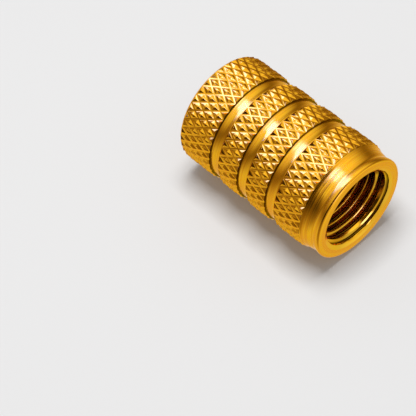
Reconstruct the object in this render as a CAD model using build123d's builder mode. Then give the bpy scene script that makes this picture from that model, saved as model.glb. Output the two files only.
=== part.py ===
"""Knurled tyre valve cap: a turned metal cap and the rubber washer that seals it.

Sizes are in millimetres. The cap stands on its mouth, as it sits on an upright valve: the mouth's
rim is on z = 0, the axis is +Z and the closed end is on top.
"""

import math
import os

from build123d import *

# Lengths along the cap, from the mouth upwards
CAP_LENGTH = 17.0
COLLAR_LENGTH = 2.1
FIRST_BAND = 3.05
GROOVE_COUNT = 3
GROOVE_WIDTH = 1.1
GROOVE_PITCH = 3.4
END_CHAMFER = 0.25

# Knurl: raised diamonds between valleys that cross at the same angle both ways
KNURL_DIAMETER = 10.8
KNURL_COUNT = 38
KNURL_ANGLE = 30
KNURL_DEPTH = 0.23
KNURL_FLAT = 0.3
KNURL_END_SHARE = 0.4

# Plain turned surfaces below the knurl: the grooves, and a collar with a shoulder, a waist and a lip
GROOVE_BELOW_VALLEYS = 0.08
SHOULDER_DEPTH = 0.1
SHOULDER_LENGTH = 0.2
COLLAR_DEPTH = 0.22
WAIST_DEPTH = 0.42
LIP_DEPTH = 0.3
LIP_HEIGHT = 0.62
LIP_CHAMFER = 0.18

# Hole for the valve, at the thread's smaller diameter, with a wider relief behind the thread
HOLE_DIAMETER = 7.0
MOUTH_CHAMFER = 0.7
RELIEF_DEPTH = 0.45
RELIEF_LENGTH = 1.6
END_THICKNESS = 5.0

# Sealing washer, which snaps in behind the thread and lies on the bottom of the hole
WASHER_CLEARANCE = 0.1
WASHER_THICKNESS = 1.15
WASHER_HOLE = 4.2

crest = KNURL_DIAMETER / 2
root = crest - KNURL_DEPTH
groove = root - GROOVE_BELOW_VALLEYS
lip = crest - LIP_DEPTH
hole = HOLE_DIAMETER / 2
relief = hole + RELIEF_DEPTH
hole_bottom = CAP_LENGTH - END_THICKNESS

# Each groove's lower and upper edge, and the knurled bands that they leave
groove_lows = [COLLAR_LENGTH + FIRST_BAND + GROOVE_PITCH * number for number in range(GROOVE_COUNT)]
band_lows = [COLLAR_LENGTH] + [low + GROOVE_WIDTH for low in groove_lows]
band_highs = groove_lows + [CAP_LENGTH - END_CHAMFER]


def knurl_band(low: float, high: float, end_share: float) -> Solid:
    """Makes one knurled band: a disc whose rim is covered with flat-topped diamonds.

    Places are counted in half steps round the band and rows in half pitches along it, so that the
    valleys cross where row plus place is even, and a diamond stands where the sum is odd. The last
    row keeps end_share of the depth, as where the closed end's edge is turned down.
    """
    rise = KNURL_DEPTH / (1 - KNURL_FLAT)
    half_step = math.pi / KNURL_COUNT
    half_pitch = crest * half_step / math.tan(math.radians(KNURL_ANGLE))
    rows = max(1, round((high - low) / half_pitch))
    places = 2 * KNURL_COUNT

    def spot(row: int, place: int, radius: float = root) -> Vector:
        turn = place % places * half_step
        height = low + (high - low) * row / rows
        return Vector(radius * math.cos(turn), radius * math.sin(turn), height)

    faces = []
    for row in range(rows + 1):
        edge = []
        for place in range((row + 1) % 2, places, 2):
            left, right = spot(row, place - 1), spot(row, place + 1)
            tip = spot(row, place, root + rise * (end_share if row == rows else 1))
            top_left, top_right = (tip + (foot - tip) * KNURL_FLAT for foot in (left, right))
            edge += [left, top_left, top_right]
            for near in (row - 1, row + 1):
                if 0 <= near <= rows:
                    far = spot(near, place)
                    top_far = tip + (far - tip) * KNURL_FLAT
                    faces.append(Face(Wire.make_polygon([left, far, top_far, top_left])))
                    faces.append(Face(Wire.make_polygon([right, far, top_far, top_right])))
                    faces.append(Face(Wire.make_polygon([top_left, top_right, top_far])))
        if row in (0, rows):
            faces.append(Face(Wire.make_polygon(edge)))
    return Solid(Shell(faces))


os.makedirs("parts", exist_ok=True)

with BuildPart() as valve_cap:
    # Turned body, from the lip up the collar and along the groove floors to the closed end
    with BuildSketch(Plane.XZ):
        with BuildLine():
            Polyline(
                (0, 0),
                (lip - LIP_CHAMFER, 0),
                (lip, LIP_CHAMFER),
                (lip, LIP_HEIGHT - LIP_CHAMFER / 2),
                (crest - WAIST_DEPTH, LIP_HEIGHT + LIP_CHAMFER / 2),
                (crest - COLLAR_DEPTH, COLLAR_LENGTH - SHOULDER_LENGTH),
                (crest - SHOULDER_DEPTH, COLLAR_LENGTH),
                (groove, COLLAR_LENGTH),
                (groove, CAP_LENGTH - END_CHAMFER),
                (groove - END_CHAMFER, CAP_LENGTH),
                (0, CAP_LENGTH),
                close=True,
            )
        make_face()
    revolve(axis=Axis.Z)
    end_shares = [1] * GROOVE_COUNT + [KNURL_END_SHARE]
    add([knurl_band(*band) for band in zip(band_lows, band_highs, end_shares)])
    # Hole, which opens in a chamfer and widens behind the thread to hold the washer
    with BuildSketch(Plane.XZ):
        with BuildLine():
            Polyline(
                (0, 0),
                (hole + MOUTH_CHAMFER, 0),
                (hole, MOUTH_CHAMFER),
                (hole, hole_bottom - RELIEF_LENGTH),
                (relief, hole_bottom - RELIEF_LENGTH),
                (relief, hole_bottom),
                (0, hole_bottom),
                close=True,
            )
        make_face()
    revolve(axis=Axis.Z, mode=Mode.SUBTRACT)
valve_cap.part.label = "valve_cap"
export_step(valve_cap.part, "parts/valve_cap.step")

with BuildPart() as sealing_washer:
    with BuildSketch(Plane.XY.offset(hole_bottom - WASHER_THICKNESS)):
        Circle(relief - WASHER_CLEARANCE)
        Circle(WASHER_HOLE / 2, mode=Mode.SUBTRACT)
    extrude(amount=WASHER_THICKNESS)
sealing_washer.part.label = "sealing_washer"
export_step(sealing_washer.part, "parts/sealing_washer.step")
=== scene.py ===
"""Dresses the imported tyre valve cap: knurled and turned gold metal, its thread and its rubber washer.

The model stands on its mouth, while the picture shows the cap lying down. So the pale table of the
picture is a wall along the cap's side, and the camera is rolled to match.
"""

import logging
import math
from collections.abc import Iterable
from dataclasses import dataclass, field
from enum import Enum
from typing import Any

import bmesh
import bpy
from mathutils import Euler, Matrix, Vector


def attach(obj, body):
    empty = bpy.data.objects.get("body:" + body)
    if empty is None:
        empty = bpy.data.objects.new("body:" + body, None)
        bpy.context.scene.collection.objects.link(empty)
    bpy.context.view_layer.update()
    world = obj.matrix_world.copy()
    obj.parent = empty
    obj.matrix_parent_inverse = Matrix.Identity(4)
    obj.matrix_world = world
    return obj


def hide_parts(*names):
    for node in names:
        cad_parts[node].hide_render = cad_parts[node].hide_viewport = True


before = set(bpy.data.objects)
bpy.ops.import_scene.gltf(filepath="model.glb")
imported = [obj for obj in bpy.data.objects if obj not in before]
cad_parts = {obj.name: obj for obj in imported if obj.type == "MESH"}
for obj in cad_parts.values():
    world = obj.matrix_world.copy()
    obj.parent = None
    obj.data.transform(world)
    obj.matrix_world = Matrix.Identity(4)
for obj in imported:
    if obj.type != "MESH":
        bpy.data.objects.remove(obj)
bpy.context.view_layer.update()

LOG = logging.getLogger("valve_cap")
MM = 0.001
AXIS = Vector((0, 0, 1))
WHITE = (1.0, 1.0, 1.0)
Colour = tuple[float, float, float]


class Value:
    """One number socket of a shader; arithmetic on it adds Math nodes."""

    def __init__(self, graph: "Graph", socket: bpy.types.NodeSocket) -> None:
        """Wraps a socket of the graph."""
        self.graph = graph
        self.socket = socket

    def math(self, operation: str, *terms: "Value | float") -> "Value":
        """Adds a Math node.

        Args:
            operation: The Math node's operation.
            terms: Its inputs, in order.

        Returns:
            The node's result.
        """
        return self.graph.add("ShaderNodeMath", {"operation": operation}, dict(enumerate(terms)))

    def __add__(self, other: "Value | float") -> "Value":
        """self + other."""
        return self.math("ADD", self, other)

    def __radd__(self, other: float) -> "Value":
        """other + self."""
        return self.math("ADD", other, self)

    def __sub__(self, other: "Value | float") -> "Value":
        """self - other."""
        return self.math("SUBTRACT", self, other)

    def __rsub__(self, other: float) -> "Value":
        """other - self."""
        return self.math("SUBTRACT", other, self)

    def __mul__(self, other: "Value | float") -> "Value":
        """self * other."""
        return self.math("MULTIPLY", self, other)

    def __rmul__(self, other: float) -> "Value":
        """other * self."""
        return self.math("MULTIPLY", other, self)

    def __abs__(self) -> "Value":
        """Size of the value, without its sign."""
        return self.math("ABSOLUTE", self)

    def __pow__(self, other: "Value | float") -> "Value":
        """self raised to other."""
        return self.math("POWER", self, other)

    def rise(self, start: float, end: float) -> "Value":
        """Goes smoothly from 0 at start to 1 at end.

        Args:
            start: Where the result leaves 0.
            end: Where it reaches 1.

        Returns:
            The smooth step.
        """
        inputs = {"Value": self, "From Min": start, "From Max": end}
        return self.graph.add("ShaderNodeMapRange", {"interpolation_type": "SMOOTHSTEP"}, inputs)


class Graph:
    """A node tree, emptied and built up again."""

    def __init__(self, tree: bpy.types.NodeTree) -> None:
        """Takes a tree and clears it."""
        self.tree = tree
        tree.nodes.clear()

    def add(
        self,
        kind: str,
        settings: dict[str, Any] | None = None,
        inputs: dict[str | int, Any] | None = None,
        output: str | int = 0,
    ) -> Value:
        """Adds a node of any type.

        Args:
            kind: The node's type.
            settings: Its properties, set before its sockets.
            inputs: Values or links of its sockets, by name or number.
            output: The socket that is handed back, by name or number.

        Returns:
            One of the node's outputs, or the node's first input where it has none.
        """
        node = self.tree.nodes.new(kind)
        for key, setting in (settings or {}).items():
            setattr(node, key, setting)
        for key, term in (inputs or {}).items():
            if isinstance(term, Value):
                self.tree.links.new(term.socket, node.inputs[key])
            else:
                node.inputs[key].default_value = term
        return Value(self, node.outputs[output] if node.outputs else node.inputs[0])

    def blend(self, factor: "Value | float", first: "Value | tuple", second: "Value | tuple") -> Value:
        """Mixes two colours.

        Args:
            factor: 0 for the first colour, 1 for the second.
            first: A colour or a colour socket.
            second: A colour or a colour socket.

        Returns:
            The mixed colour.
        """
        colours = [(*c, 1.0) if isinstance(c, tuple) and len(c) == 3 else c for c in (first, second)]
        inputs = {0: factor, 6: colours[0], 7: colours[1]}
        return self.add("ShaderNodeMix", {"data_type": "RGBA"}, inputs, 2)

    def places(self) -> tuple[Value, Value, Value, Value]:
        """Reads where a point is on the piece.

        Returns:
            Its x, y and z in millimetres, and its distance from the cap's axis.
        """
        spot = self.add("ShaderNodeTexCoord", output="Object")
        in_mm = self.add("ShaderNodeVectorMath", {"operation": "SCALE"}, {0: spot, "Scale": 1 / MM})
        x, y, z = (self.add("ShaderNodeSeparateXYZ", None, {0: in_mm}, axis) for axis in "XYZ")
        return x, y, z, (x * x + y * y) ** 0.5

    def noise(self, across: Value, round_x: Value, round_y: Value, detail: float = 3.0) -> Value:
        """Reads noise at a place that is given in noise cells.

        Args:
            across: Place across the marks.
            round_x: Place along x.
            round_y: Place along y.
            detail: Number of finer layers.

        Returns:
            The noise, about 0.5 on average.
        """
        spot = self.add("ShaderNodeCombineXYZ", None, {0: round_x, 1: round_y, 2: across})
        return self.add("ShaderNodeTexNoise", None, {"Vector": spot, "Scale": 1.0, "Detail": detail})


class Marks(Enum):
    """What the tools left on a surface: cells per millimetre across the marks and along them."""

    TURNED = (6.5, 0.07)
    ROLLED = (9.0, 9.0)
    TAPPED = (7.0, 0.3)


@dataclass(frozen=True)
class GoldFinish:
    """Gold-anodised metal: a clear skin, worn off the closed end, over dyed metal with the tool's marks,
    painted darker as shade in its band corners and thread roots.
    """

    name: str
    marks: Marks
    colour: Colour
    deep_colour: Colour
    roughness: float
    roughness_spread: float
    mark_depth_mm: float
    corners_mm: tuple[float, ...] = ()
    roots_mm: tuple[float, float, float] | None = None
    # Colour of the painted shade in the band corners and thread roots, and how strong it is at each.
    painted_shade_colour: Colour = (0.075, 0.05, 0.002)
    corner_painted_shade: float = 0.88
    root_painted_shade: float = 0.8
    edge_colour: Colour = (1.0, 0.72, 0.2)
    skin: float = 0.17
    skin_roughness: float = 0.2
    skin_index: float = 1.6
    worn_mm: float = 16.95
    worn_edge_mm: float = 0.2
    face_slant: float = 0.8
    cloud_cells: float = 0.35
    streak_tint: float = 0.6
    streak_roughness: float = 0.7

    def make(self) -> bpy.types.Material:
        """Makes the material.

        Returns:
            The finished material.
        """
        material = bpy.data.materials.new(self.name)
        material.use_nodes = True
        graph = Graph(material.node_tree)
        x, y, z, radius = graph.places()
        fine, along = self.marks.value
        across = z if self.marks is Marks.ROLLED else z + radius * self.face_slant
        streaks = graph.noise(across * fine, x * along, y * along).rise(0.3, 0.7)
        clouds = graph.noise(z * self.cloud_cells, x * self.cloud_cells, y * self.cloud_cells, 2.0)
        deep = streaks * self.streak_tint + clouds * (1 - self.streak_tint)
        tint = graph.blend(deep.rise(0.35, 0.68), self.colour, self.deep_colour)
        unshaded = self.unshaded(z, radius)
        # Painted shade: the metal's colour turns dark in the band corners and thread roots.
        tint = graph.blend(unshaded, self.painted_shade_colour, tint)
        uneven = streaks * self.streak_roughness + clouds * (1 - self.streak_roughness) - 0.5
        worn = z.rise(self.worn_mm - self.worn_edge_mm, self.worn_mm)
        bump_inputs = {"Strength": 1.0, "Distance": self.mark_depth_mm * MM, "Height": streaks}
        marks = graph.add("ShaderNodeBump", None, bump_inputs)
        shader = graph.add(
            "ShaderNodeBsdfPrincipled",
            None,
            {
                "Base Color": tint,
                "Metallic": 1.0,
                "Specular Tint": (*self.edge_colour, 1.0),
                "Roughness": self.roughness + self.roughness_spread * uneven,
                "Normal": marks,
                "Coat Weight": self.skin * unshaded * unshaded * (1 - worn),
                "Coat Roughness": self.skin_roughness,
                "Coat IOR": self.skin_index,
            },
        )
        graph.add("ShaderNodeOutputMaterial", None, {"Surface": shader})
        return material

    def unshaded(self, z: Value, radius: Value) -> Value:
        """Finds where no shade is painted; the band corners and the thread's roots are painted darker as shade.

        Args:
            z: Height in millimetres.
            radius: Distance from the axis in millimetres.

        Returns:
            1 on open metal, near 0 where shade is painted in the corners and thread roots.
        """
        if self.roots_mm:
            root, slope, mouth = self.roots_mm
            # Painted shade deep in the thread roots, behind the mouth's cone.
            behind_cone = (radius + z * slope).rise(mouth + 0.04, mouth + 0.12)
            return 1 - self.root_painted_shade * radius.rise(root - 0.2, root - 0.05) * behind_cone
        # Painted shade in thin dark lines at the band corners.
        least = 1 - self.corner_painted_shade
        shares = [least + self.corner_painted_shade * abs(z - corner).rise(0.02, 0.075) for corner in self.corners_mm]
        return math.prod(shares[1:], start=shares[0])


@dataclass(frozen=True)
class RubberFinish:
    """Black moulded rubber with a fine matt grain and a little dust."""

    name: str = "seal_rubber_black"
    colour: Colour = (0.018, 0.018, 0.02)
    dusty_colour: Colour = (0.05, 0.048, 0.045)
    roughness: float = 0.62
    grain_mm: float = 0.012

    def make(self) -> bpy.types.Material:
        """Makes the material.

        Returns:
            The finished material.
        """
        material = bpy.data.materials.new(self.name)
        material.use_nodes = True
        graph = Graph(material.node_tree)
        x, y, z, _ = graph.places()
        grain = graph.noise(z * 14.0, x * 14.0, y * 14.0)
        dust = graph.noise(z * 1.3, x * 1.3, y * 1.3)
        bump_inputs = {"Strength": 0.6, "Distance": self.grain_mm * MM, "Height": grain}
        shader = graph.add(
            "ShaderNodeBsdfPrincipled",
            None,
            {
                "Base Color": graph.blend(dust.rise(0.45, 0.75), self.colour, self.dusty_colour),
                "Roughness": self.roughness + 0.2 * (grain - 0.5),
                "Normal": graph.add("ShaderNodeBump", None, bump_inputs),
            },
        )
        graph.add("ShaderNodeOutputMaterial", None, {"Surface": shader})
        return material


@dataclass(frozen=True)
class PaleFinish:
    """Pale matt paper, which shows from its front only."""

    name: str
    colour: Colour = (0.785, 0.783, 0.784)
    glow: float = 0.06

    def make(self) -> bpy.types.Material:
        """Makes the material.

        Returns:
            The finished material.
        """
        material = bpy.data.materials.new(self.name)
        material.use_nodes = True
        graph = Graph(material.node_tree)
        paper = graph.add("ShaderNodeBsdfDiffuse", None, {"Color": (*self.colour, 1.0)})
        level = graph.add("ShaderNodeEmission", None, {"Color": (*self.colour, 1.0), "Strength": 1.0})
        front = graph.add("ShaderNodeMixShader", None, {0: self.glow, 1: paper, 2: level})
        behind = graph.add("ShaderNodeNewGeometry", output="Backfacing")
        clear = graph.add("ShaderNodeBsdfTransparent")
        seen = graph.add("ShaderNodeMixShader", None, {0: behind, 1: front, 2: clear})
        graph.add("ShaderNodeOutputMaterial", None, {"Surface": seen})
        return material


@dataclass(frozen=True)
class Corner:
    """A corner of a turned section: its distance from the axis, its height and its rounding, in mm."""

    radius: float
    height: float
    rounding: float = 0.0


@dataclass(frozen=True)
class Roundings:
    """Roundings of the turned section's corners, in mm."""

    rim: float = 0.23
    lip: float = 0.2
    waist: float = 0.13
    collar: float = 0.05
    shoulder: float = 0.03
    ramp: float = 0.15
    groove: float = 0.05
    closed_end: float = 0.08


@dataclass
class ValveCap:
    """The knurled metal cap, in millimetres, made as a turned body, four knurled bands and a thread."""

    length: float = 17.0
    collar_length: float = 2.1
    first_band: float = 3.05
    groove_count: int = 3
    groove_width: float = 1.1
    groove_pitch: float = 3.4
    end_chamfer: float = 0.25
    crest: float = 5.399
    knurl_count: int = 38
    knurl_angle: float = 30.0
    knurl_depth: float = 0.18
    knurl_slope: float = 41.0
    valley_floor: float = 0.05
    valley_round: float = 0.06
    top_round: float = 0.04
    hip_round: float = 0.03
    band_chamfer: tuple[float, float] = (0.21, 0.16)
    closed_end_chamfer: tuple[float, float] = (0.26, 0.21)
    body_below: float = 0.02
    band_overlap: float = 0.012
    band_foot: float = 0.15
    groove_below: float = 0.13
    groove_ramp: float = 0.38
    shoulder_depth: float = 0.1
    shoulder_length: float = 0.2
    collar_depth: float = 0.22
    waist_depth: float = 0.42
    lip_depth: float = 0.3
    lip_height: float = 0.62
    lip_fall: float = 0.17
    waist_rise: float = 0.16
    thread_radius: float = 3.5
    thread_pitch: float = 0.794
    thread_depth: float = 0.45
    thread_start: float = 130.0
    fine_thread_height: float = 1.2
    fine_thread_cuts: int = 5
    mouth_radius: float = 4.2
    mouth_slope: float = 2.2
    lead_in: tuple[float, float] = (3.87, 0.32)
    relief_radius: float = 3.95
    relief_length: float = 1.6
    end_thickness: float = 5.0
    steps: int = 152
    gold: Colour = (0.97, 0.485, 0.012)
    deep_gold: Colour = (0.93, 0.405, 0.008)
    bare_gold: Colour = (0.95, 0.54, 0.03)
    rounding: Roundings = Roundings()

    @property
    def root(self) -> float:
        """Radius of the knurl's valleys."""
        return self.crest - self.knurl_depth

    @property
    def hole_bottom(self) -> float:
        """Height of the hole's flat bottom."""
        return self.length - self.end_thickness

    @property
    def thread_end(self) -> float:
        """Height at which the thread runs out into the relief."""
        return self.hole_bottom - self.relief_length

    def bands(self) -> list[tuple[float, float]]:
        """Lower and upper end of each knurled band."""
        first = self.collar_length + self.first_band
        grooves = [first + self.groove_pitch * number for number in range(self.groove_count)]
        lows = [self.collar_length] + [low + self.groove_width for low in grooves]
        return list(zip(lows, grooves + [self.length - self.end_chamfer]))

    def turned_body(self) -> bmesh.types.BMesh:
        """Spins the plain section: lip, collar, groove floors, closed end and hole.

        Returns:
            The closed turned body.
        """
        groove, core = self.root - self.groove_below, self.root - self.body_below
        rounding = self.rounding
        bands = self.bands()
        floors = []
        for (_, low), (high, _) in zip(bands, bands[1:]):
            low, high = low + self.band_overlap, high - self.band_overlap
            ramp = Corner(groove, low + self.groove_ramp, rounding.ramp)
            floors += [Corner(core, low), ramp, Corner(groove, high, rounding.groove), Corner(core, high)]
        lip = self.crest - self.lip_depth
        waist = self.crest - self.waist_depth
        collar = self.crest - self.collar_depth
        shoulder = self.crest - self.shoulder_depth
        top = self.length - self.end_chamfer
        end_face = core - self.end_chamfer - rounding.closed_end
        section = [
            Corner(0, self.hole_bottom),
            Corner(self.relief_radius, self.hole_bottom),
            Corner(self.relief_radius, self.thread_end),
            Corner(self.mouth_radius, self.thread_end),
            Corner(self.mouth_radius, 0),
            Corner(lip, 0, rounding.rim),
            Corner(lip, self.lip_height - self.lip_fall, rounding.lip),
            Corner(waist, self.lip_height + self.waist_rise, rounding.waist),
            Corner(collar, self.collar_length - self.shoulder_length, rounding.collar),
            Corner(shoulder, self.collar_length, rounding.shoulder),
            Corner(core, self.collar_length),
            *floors,
            Corner(core, top),
            Corner(end_face, self.length, rounding.closed_end),
            Corner(0, self.length),
        ]
        bm = bmesh.new()
        corners = [(bm.verts.new((c.radius, 0, c.height)), c.rounding) for c in section]
        bm.faces.new([vert for vert, _ in corners])
        for size in sorted({r for _, r in corners if r}):
            bmesh.ops.bevel(
                bm,
                geom=[vert for vert, r in corners if r == size],
                offset=size,
                segments=5,
                profile=0.5,
                affect="VERTICES",
                material=-1,
            )
        bmesh.ops.delete(bm, geom=bm.faces[:], context="FACES_ONLY")
        on_axis = [e for e in bm.edges if all(v.co.x < 1e-6 for v in e.verts)]
        bmesh.ops.delete(bm, geom=on_axis, context="EDGES")
        spin_round(bm, self.steps)
        return bm

    def knurled_band(self, low: float, high: float) -> bmesh.types.BMesh:
        """Makes one knurled band from one diamond.

        Args:
            low: Height of the band's lower end.
            high: Height of its upper end.

        Returns:
            The band, as a closed ring that reaches into the turned body.
        """
        half_step = math.pi * self.crest / self.knurl_count
        rows = max(1, round((high - low) * math.tan(math.radians(self.knurl_angle)) / half_step))
        half_pitch = (high - low) / rows
        bm = bmesh.new()
        self.diamond(bm, half_step, half_pitch)
        first = bm.verts[:] + bm.edges[:] + bm.faces[:]
        for row in range(1, rows + 1):
            copy = bmesh.ops.duplicate(bm, geom=first)["geom"]
            verts = [g for g in copy if isinstance(g, bmesh.types.BMVert)]
            bmesh.ops.translate(bm, verts=verts, vec=(-half_step if row % 2 else 0, row * half_pitch, 0))
        bmesh.ops.translate(bm, verts=bm.verts[:], vec=(half_step, 0, 0))
        last = high > self.length - 2 * self.end_chamfer
        self.end_wall(bm, 0, -1, self.band_chamfer)
        self.end_wall(bm, high - low, 1, self.closed_end_chamfer if last else self.band_chamfer)
        for vert in bm.verts:
            turn, radius = vert.co.x / self.crest, self.root + vert.co.z
            vert.co = (radius * math.cos(turn), radius * math.sin(turn), low + vert.co.y)
        bmesh.ops.spin(
            bm,
            geom=bm.verts[:] + bm.edges[:] + bm.faces[:],
            cent=(0, 0, 0),
            axis=(0, 0, 1),
            angle=math.tau * (self.knurl_count - 1) / self.knurl_count,
            steps=self.knurl_count - 1,
            use_duplicate=True,
        )
        bmesh.ops.remove_doubles(bm, verts=bm.verts[:], dist=5e-4)
        rims = [e for e in bm.edges if e.is_boundary]
        inside = self.root - self.groove_below
        feet = [e for e in rims if e.verts[0].co.xy.length < inside]
        broken_edge = [e for e in rims if e.verts[0].co.xy.length >= inside]
        for loops in filter(None, (feet, broken_edge)):
            bmesh.ops.bridge_loops(bm, edges=loops)
        bmesh.ops.recalc_face_normals(bm, faces=bm.faces[:])
        if bm.calc_volume(signed=True) < 0:
            bmesh.ops.reverse_faces(bm, faces=bm.faces[:])
        return bm

    def diamond(self, bm: bmesh.types.BMesh, half_step: float, half_pitch: float) -> None:
        """Makes one flat-topped diamond on the unrolled band, from the middle of the valleys round it.

        Args:
            bm: Mesh that takes the diamond.
            half_step: Half its width round the cap.
            half_pitch: Half its length along the cap.
        """
        bmesh.ops.create_circle(bm, cap_ends=True, segments=4, radius=1.0)
        bmesh.ops.scale(bm, vec=(half_step, half_pitch, 1), verts=bm.verts[:])
        top = bm.faces[:][0]
        if top.normal.z < 0:
            top.normal_flip()
        for width, rise in self.flank():
            bmesh.ops.inset_individual(bm, faces=[top], thickness=width, depth=rise, use_even_offset=True)
        hips = [
            e
            for e in bm.edges
            if all(min(abs(v.co.x), abs(v.co.y)) < 1e-5 and v.co.z > 0.02 for v in e.verts)
        ]
        bmesh.ops.bevel(
            bm, geom=hips, offset=self.hip_round, segments=1, profile=0.5, affect="EDGES", material=-1
        )

    def flank(self) -> list[tuple[float, float]]:
        """Steps from a valley's middle to a diamond's top, each with its width and its rise."""
        slope = math.radians(self.knurl_slope)
        across, up = math.sin(slope), 1 - math.cos(slope)
        rise = self.knurl_depth - (self.valley_round + self.top_round) * up
        return [
            (self.valley_floor, 0.0),
            (self.valley_round * across, self.valley_round * up),
            (rise / math.tan(slope), rise),
            (self.top_round * across, self.top_round * up),
        ]

    def end_wall(self, bm: bmesh.types.BMesh, place: float, side: int, chamfer: tuple[float, float]) -> None:
        """Trims the unrolled band, gives it an end wall down into the body and breaks the teeth's edges.

        Args:
            bm: The unrolled band.
            place: Where it ends.
            side: -1 for its lower end, 1 for its upper end.
            chamfer: Length along the cap and depth of the broken edge.
        """
        cut(bm, (0, place, 0), (0, side, 0))
        rim = [e for e in bm.edges if e.is_boundary and all(abs(v.co.y - place) < 1e-5 for v in e.verts)]
        wall = bmesh.ops.extrude_edge_only(bm, edges=rim)["geom"]
        foot = [g for g in wall if isinstance(g, bmesh.types.BMVert)]
        base = Matrix.Translation((0, 0, self.groove_below + self.band_foot))
        bmesh.ops.scale(bm, vec=(1, 1, 0), space=base, verts=foot)
        length, depth = chamfer
        edges = cut(bm, (0, place, self.knurl_depth - depth), (0, side * depth, length))
        bmesh.ops.holes_fill(bm, edges=edges, sides=0)

    def thread(self) -> bmesh.types.BMesh:
        """Sweeps the right-hand thread, opens it in a cone at the mouth and closes it into a ring.

        Returns:
            The threaded ring, which fills the body's hole.
        """
        crest = [(0, 0), (0.03, 0.0), (0.06, 0.02), (0.085, 0.07), (0.11, 0.15)]
        half = crest + [(0.4, 0.9), (0.43, 0.97), (0.46, 1.0), (0.5, 1)]
        stations = half + [(1 - place, depth) for place, depth in half[-2::-1]]
        bm = bmesh.new()
        line = [
            bm.verts.new((self.thread_radius + self.thread_depth * depth, 0, (place - 2) * self.thread_pitch))
            for place, depth in stations
        ]
        wire = [bm.edges.new(pair) for pair in zip(line, line[1:])]
        bmesh.ops.spin(
            bm,
            geom=line + wire,
            cent=(0, 0, 0),
            axis=(0, 0, 1),
            dvec=(0, 0, self.thread_pitch / self.steps),
            angle=math.tau,
            steps=self.steps,
        )
        turn = bm.verts[:] + bm.edges[:] + bm.faces[:]
        for number in range(1, math.ceil(self.thread_end / self.thread_pitch) + 3):
            copy = bmesh.ops.duplicate(bm, geom=turn)["geom"]
            verts = [g for g in copy if isinstance(g, bmesh.types.BMVert)]
            bmesh.ops.translate(bm, verts=verts, vec=(0, 0, number * self.thread_pitch))
        bmesh.ops.remove_doubles(bm, verts=bm.verts[:], dist=5e-4)
        start = Matrix.Rotation(math.radians(self.thread_start), 3, "Z")
        bmesh.ops.rotate(bm, matrix=start, verts=bm.verts[:])
        cut(bm, (0, 0, 0), (0, 0, -1))
        cut(bm, (0, 0, self.thread_end), (0, 0, 1))
        flanks = [
            e
            for e in bm.edges
            if max(v.co.z for v in e.verts) < self.fine_thread_height
            and abs(e.verts[0].co.z - e.verts[1].co.z) > 0.1
        ]
        bmesh.ops.subdivide_edges(bm, edges=flanks, cuts=self.fine_thread_cuts, use_grid_fill=True)
        for vert in bm.verts:
            now = vert.co.xy.length
            cone = self.mouth_radius - self.mouth_slope * vert.co.z
            least = max(cone, self.lead_in[0] - self.lead_in[1] * vert.co.z)
            if now < least:
                vert.co.xy *= least / now
        upper = self.thread_end - 1e-4
        rim = [e for e in bm.edges if e.is_boundary and all(v.co.z > upper for v in e.verts)]
        ledge = bmesh.ops.extrude_edge_only(bm, edges=rim)["geom"]
        for vert in (g for g in ledge if isinstance(g, bmesh.types.BMVert)):
            vert.co.xy *= self.mouth_radius / vert.co.xy.length
        bmesh.ops.bridge_loops(bm, edges=[e for e in bm.edges if e.is_boundary])
        bmesh.ops.recalc_face_normals(bm, faces=bm.faces[:])
        return bm

    def build(self) -> bpy.types.Object:
        """Joins the body, bands and thread in one piece.

        Returns:
            The cap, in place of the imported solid.
        """
        shapes = [(self.turned_body(), 0), (self.thread(), 2)]
        shapes += [(self.knurled_band(low, high), 1) for low, high in self.bands()]
        cap = join("valve_cap_metal", shapes)
        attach(cap, "root")
        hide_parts("valve_cap")
        return cap

    def dress(self, cap: bpy.types.Object) -> None:
        """Gives the cap its finishes.

        Args:
            cap: The joined cap.
        """
        corners = tuple(low for low, _ in self.bands())
        roots = (self.thread_radius + self.thread_depth, self.mouth_slope, self.mouth_radius)
        for finish in (
            GoldFinish(
                name="gold_turned",
                marks=Marks.TURNED,
                colour=self.gold,
                deep_colour=self.deep_gold,
                roughness=0.18,
                roughness_spread=0.36,
                mark_depth_mm=0.005,
                corners_mm=corners[1:],
            ),
            GoldFinish(
                name="gold_knurled",
                marks=Marks.ROLLED,
                colour=self.gold,
                deep_colour=self.deep_gold,
                roughness=0.12,
                roughness_spread=0.08,
                mark_depth_mm=0.001,
                corners_mm=corners,
            ),
            GoldFinish(
                name="gold_tapped",
                marks=Marks.TAPPED,
                colour=self.bare_gold,
                deep_colour=self.gold,
                roughness=0.12,
                roughness_spread=0.08,
                mark_depth_mm=0.001,
                roots_mm=roots,
            ),
        ):
            cap.data.materials.append(finish.make())


@dataclass
class SealingWasher:
    """The rubber washer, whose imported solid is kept."""

    node: str = "sealing_washer"
    finish: RubberFinish = RubberFinish()

    def dress(self) -> bpy.types.Object:
        """Gives the washer its rubber.

        Returns:
            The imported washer.
        """
        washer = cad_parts[self.node]
        rubber = self.finish.make()
        if not washer.material_slots:
            washer.data.materials.append(rubber)
        for place in washer.material_slots:
            place.material = rubber
        return washer


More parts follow.
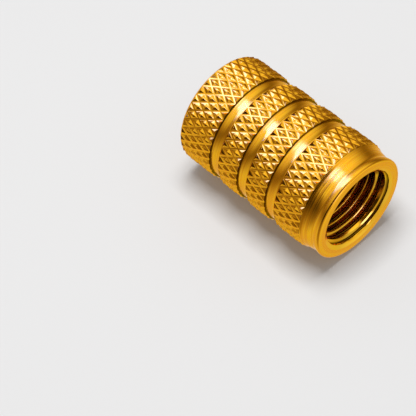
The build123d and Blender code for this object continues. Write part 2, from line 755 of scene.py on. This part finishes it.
@dataclass
class Studio:
    """The table that the cap lies on in the picture, the floor it stands on, and the light round it."""

    up: Vector = field(default_factory=lambda: Vector((1, -1, 0)).normalized())
    side: Vector = field(default_factory=lambda: Vector((-1, -1, 0)).normalized())
    to_camera: Vector = field(default_factory=lambda: Vector((-0.5098, -0.5098, -0.693)).normalized())
    to_lamp: Vector = field(default_factory=lambda: Vector((0.69, -0.72, 0.07)).normalized())
    touch_mm: float = 5.4
    floor_mm: float = -0.02
    floor_glow: float = 0.45
    sheet_size: float = 1.6
    lamp_middle: float = 0.0085
    lamp_distance: float = 0.25
    lamp_size: tuple[float, float] = (0.13, 0.1)
    lamp_watts: float = 0.5
    pale: float = 0.83
    fill: float = 0.35
    dusk: Colour = (1.0, 0.72, 0.42)
    daylight: Colour = (0.045, 0.072, 1.2)
    strip_level: float = 26.0
    window_level: float = 8.0
    window_white: float = 1.4
    base_level: float = 0.22
    top_level: float = 0.98
    table_level: float = 0.55
    mouth_level: float = 0.4

    def sheets(self) -> None:
        """Lays the table against the cap's side and the floor under its mouth."""
        floor_paper = PaleFinish("floor_paper", glow=self.floor_glow)
        table = self.sheet("table", self.up * -self.touch_mm * MM, self.up, PaleFinish("table_paper"))
        floor = self.sheet("floor", AXIS * self.floor_mm * MM, AXIS, floor_paper)
        table.visible_shadow = table.visible_glossy = False
        floor.visible_shadow = floor.visible_glossy = floor.visible_diffuse = False

    def sheet(self, name: str, place: Vector, face: Vector, finish: PaleFinish) -> bpy.types.Object:
        """Makes one square sheet.

        Args:
            name: The sheet's name.
            place: Its middle.
            face: Where its front looks.
            finish: Its paper.

        Returns:
            The sheet.
        """
        bm = bmesh.new()
        bmesh.ops.create_grid(bm, x_segments=1, y_segments=1, size=self.sheet_size / 2)
        turn = face.to_track_quat("Z", "Y").to_matrix().to_4x4()
        bmesh.ops.transform(bm, matrix=Matrix.Translation(place) @ turn, verts=bm.verts[:])
        mesh = bpy.data.meshes.new(name)
        bm.to_mesh(mesh)
        bm.free()
        mesh.materials.append(finish.make())
        sheet = bpy.data.objects.new(name, mesh)
        bpy.context.scene.collection.objects.link(sheet)
        return sheet

    def softbox(self) -> None:
        """Hangs the softbox over the table."""
        lamp = bpy.data.lights.new("softbox", "AREA")
        lamp.shape = "RECTANGLE"
        lamp.size, lamp.size_y = self.lamp_size
        lamp.energy = self.lamp_watts
        box = bpy.data.objects.new("softbox", lamp)
        bpy.context.scene.collection.objects.link(box)
        box.location = self.to_lamp * self.lamp_distance + AXIS * self.lamp_middle
        box.rotation_euler = self.to_lamp.to_track_quat("Z", "Y").to_euler()
        box.visible_glossy = False

    def room(self, sight: "Sight") -> Value:
        """Finds how bright the plain room is.

        Args:
            sight: Where a ray goes.

        Returns:
            Its level: bright above, paler by the table and the mouth, dark round the camera and beside the cap.
        """
        table = (1 - sight.height.rise(-0.6, 0.2)) * (1 - 0.6 * sight.near.rise(0.3, 0.65))
        level = self.base_level + self.top_level * sight.height.rise(0.15, 1.05) + self.table_level * table
        level = level - 0.12 * sight.near.rise(0.3, 0.8)
        dark_camera = sight.towards(self.up * 0.772 + self.to_camera * 0.636).rise(0.82, 0.94)
        dark_side = sight.towards(self.up * 0.4 + self.side * 0.88 - AXIS * 0.25).rise(0.86, 0.98)
        level = level * (1 - 0.92 * dark_camera) * (1 - 0.85 * dark_side)
        return level + self.mouth_level * (1 - sight.lean.rise(-0.9, -0.5))

    def strip(self, sight: "Sight") -> Value:
        """Finds where the strip light shows, which runs over the cap along its axis in two lengths.

        Args:
            sight: Where a ray goes.

        Returns:
            1 in the strip, 0 outside it.
        """
        lean = sight.lean
        low_end, high_end = 1 - lean.rise(-0.1, 0.12), lean.rise(0.5, 0.85)
        off_middle = abs(sight.across - 0.06 - 0.14 * low_end) - 0.1 * low_end - 0.06 * high_end
        ends = sight.height.rise(0.3, 0.45) * (1 - lean.rise(0.88, 0.97))
        lengths = lean.rise(-0.1, 0.0) * (1 - lean.rise(0.12, 0.18)) + lean.rise(0.33, 0.44)
        return (1 - off_middle.rise(0.12, 0.25)) * ends * lengths

    def surround(self) -> None:
        """Lights the room, and gives the metal a strip light, a window and dark sides to show."""
        world = bpy.data.worlds.new("studio")
        world.use_nodes = True
        bpy.context.scene.world = world
        graph = Graph(world.node_tree)
        sight = Sight(graph, self)
        window = sight.towards(self.up * 0.08 + self.side * 0.05 - AXIS).rise(0.972, 0.988)
        room = self.room(sight) + self.window_white * window
        shown = self.strip_level * self.strip(sight) + self.window_level * window
        after_paper = graph.add("ShaderNodeLightPath", output="Diffuse Depth").rise(0.0, 1.0)
        glossy = graph.add("ShaderNodeLightPath", output="Is Glossy Ray") * (1 - after_paper)
        camera = graph.add("ShaderNodeLightPath", output="Is Camera Ray")
        level = glossy * room + camera * self.pale + (1 - glossy) * (1 - camera) * self.fill
        tone = graph.blend(glossy * (1 - room.rise(0.1, 0.8)), WHITE, self.dusk)
        plain = graph.add("ShaderNodeBackground", None, {"Color": tone, "Strength": level})
        lights = {"Color": (*self.daylight, 1.0), "Strength": glossy * shown}
        bright = graph.add("ShaderNodeBackground", None, lights)
        both = graph.add("ShaderNodeAddShader", None, {0: plain, 1: bright})
        graph.add("ShaderNodeOutputWorld", None, {"Surface": both})


class Sight:
    """Where a ray into the room goes, as its shares along the studio's directions."""

    def __init__(self, graph: Graph, studio: Studio) -> None:
        """Reads the ray's direction in a world's graph."""
        self.graph = graph
        self.way = graph.add("ShaderNodeTexCoord", output="Generated")
        self.height = self.towards(studio.up)
        self.near = self.towards(studio.to_camera)
        self.lean = self.towards(AXIS)
        self.across = self.towards(studio.side)

    def towards(self, aim: Vector) -> Value:
        """Finds how far the ray goes towards a direction.

        Args:
            aim: The direction, of any length.

        Returns:
            1 straight towards it, 0 across it.
        """
        inputs = {0: self.way, 1: aim.normalized()}
        return self.graph.add("ShaderNodeVectorMath", {"operation": "DOT_PRODUCT"}, inputs, "Value")


@dataclass
class PictureCamera:
    """The camera of the picture, about 50 degrees above the table."""

    place_mm: tuple[float, float, float] = (37.475, -146.669, -65.712)
    turn_deg: tuple[float, float, float] = (129.425, 44.2432, 47.1835)
    view_deg: float = 12.405
    sensor_mm: float = 36.0

    def build(self) -> bpy.types.Object:
        """Sets up the camera.

        Returns:
            The scene's camera.
        """
        data = bpy.data.cameras.new("picture_camera")
        data.sensor_width = self.sensor_mm
        data.lens = self.sensor_mm / 2 / math.tan(math.radians(self.view_deg / 2))
        data.clip_start, data.clip_end = 0.001, 10.0
        camera = bpy.data.objects.new("picture_camera", data)
        bpy.context.scene.collection.objects.link(camera)
        camera.location = Vector(self.place_mm) * MM
        camera.rotation_euler = Euler([math.radians(angle) for angle in self.turn_deg])
        bpy.context.scene.camera = camera
        return camera


def cut(bm: bmesh.types.BMesh, place: tuple, away: tuple) -> list[bmesh.types.BMEdge]:
    """Cuts a mesh with a plane and drops what lies beyond it.

    Args:
        bm: The mesh.
        place: A point of the plane.
        away: The direction of the side that is dropped.

    Returns:
        The edges along the cut.
    """
    done = bmesh.ops.bisect_plane(
        bm,
        geom=bm.verts[:] + bm.edges[:] + bm.faces[:],
        dist=1e-6,
        plane_co=place,
        plane_no=Vector(away).normalized(),
        clear_outer=True,
    )
    return [g for g in done["geom_cut"] if isinstance(g, bmesh.types.BMEdge)]


def spin_round(bm: bmesh.types.BMesh, steps: int) -> None:
    """Spins a section once round the cap's axis and closes its seam and poles.

    Args:
        bm: Mesh that holds the section's edges.
        steps: Number of steps round.
    """
    bmesh.ops.spin(
        bm,
        geom=bm.verts[:] + bm.edges[:],
        cent=(0, 0, 0),
        axis=(0, 0, 1),
        angle=math.tau,
        steps=steps,
        use_merge=True,
    )
    bmesh.ops.remove_doubles(bm, verts=bm.verts[:], dist=1e-4)
    bmesh.ops.recalc_face_normals(bm, faces=bm.faces[:])


def join(name: str, shapes: Iterable[tuple[bmesh.types.BMesh, int]]) -> bpy.types.Object:
    """Joins shapes in millimetres into one piece in metres.

    Args:
        name: The piece's name.
        shapes: Each shape and the number of its finish.

    Returns:
        The piece, smooth with hard corners.
    """
    whole = bmesh.new()
    for shape, number in shapes:
        for face in shape.faces:
            face.material_index = number
            face.smooth = True
        spare = bpy.data.meshes.new("spare")
        shape.to_mesh(spare)
        shape.free()
        whole.from_mesh(spare)
        bpy.data.meshes.remove(spare)
    bmesh.ops.scale(whole, vec=(MM, MM, MM), verts=whole.verts[:])
    mesh = bpy.data.meshes.new(name)
    whole.to_mesh(mesh)
    whole.free()
    mesh.set_sharp_from_angle(angle=math.radians(30))
    piece = bpy.data.objects.new(name, mesh)
    bpy.context.scene.collection.objects.link(piece)
    weight = piece.modifiers.new("even_shading", "WEIGHTED_NORMAL")
    weight.keep_sharp = True
    return piece


def main() -> None:
    """Builds and dresses the pieces, sets the stage and reports each piece."""
    logging.basicConfig(level=logging.INFO, format="%(message)s")
    bpy.context.scene.view_settings.view_transform = "Standard"
    maker = ValveCap()
    cap = maker.build()
    maker.dress(cap)
    LOG.info("%s: %d faces", cap.name, len(cap.data.polygons))
    washer = SealingWasher().dress()
    LOG.info("%s: %d faces", washer.name, len(washer.data.polygons))
    studio = Studio()
    studio.sheets()
    studio.softbox()
    studio.surround()
    PictureCamera().build()


if __name__ == "__main__":
    main()
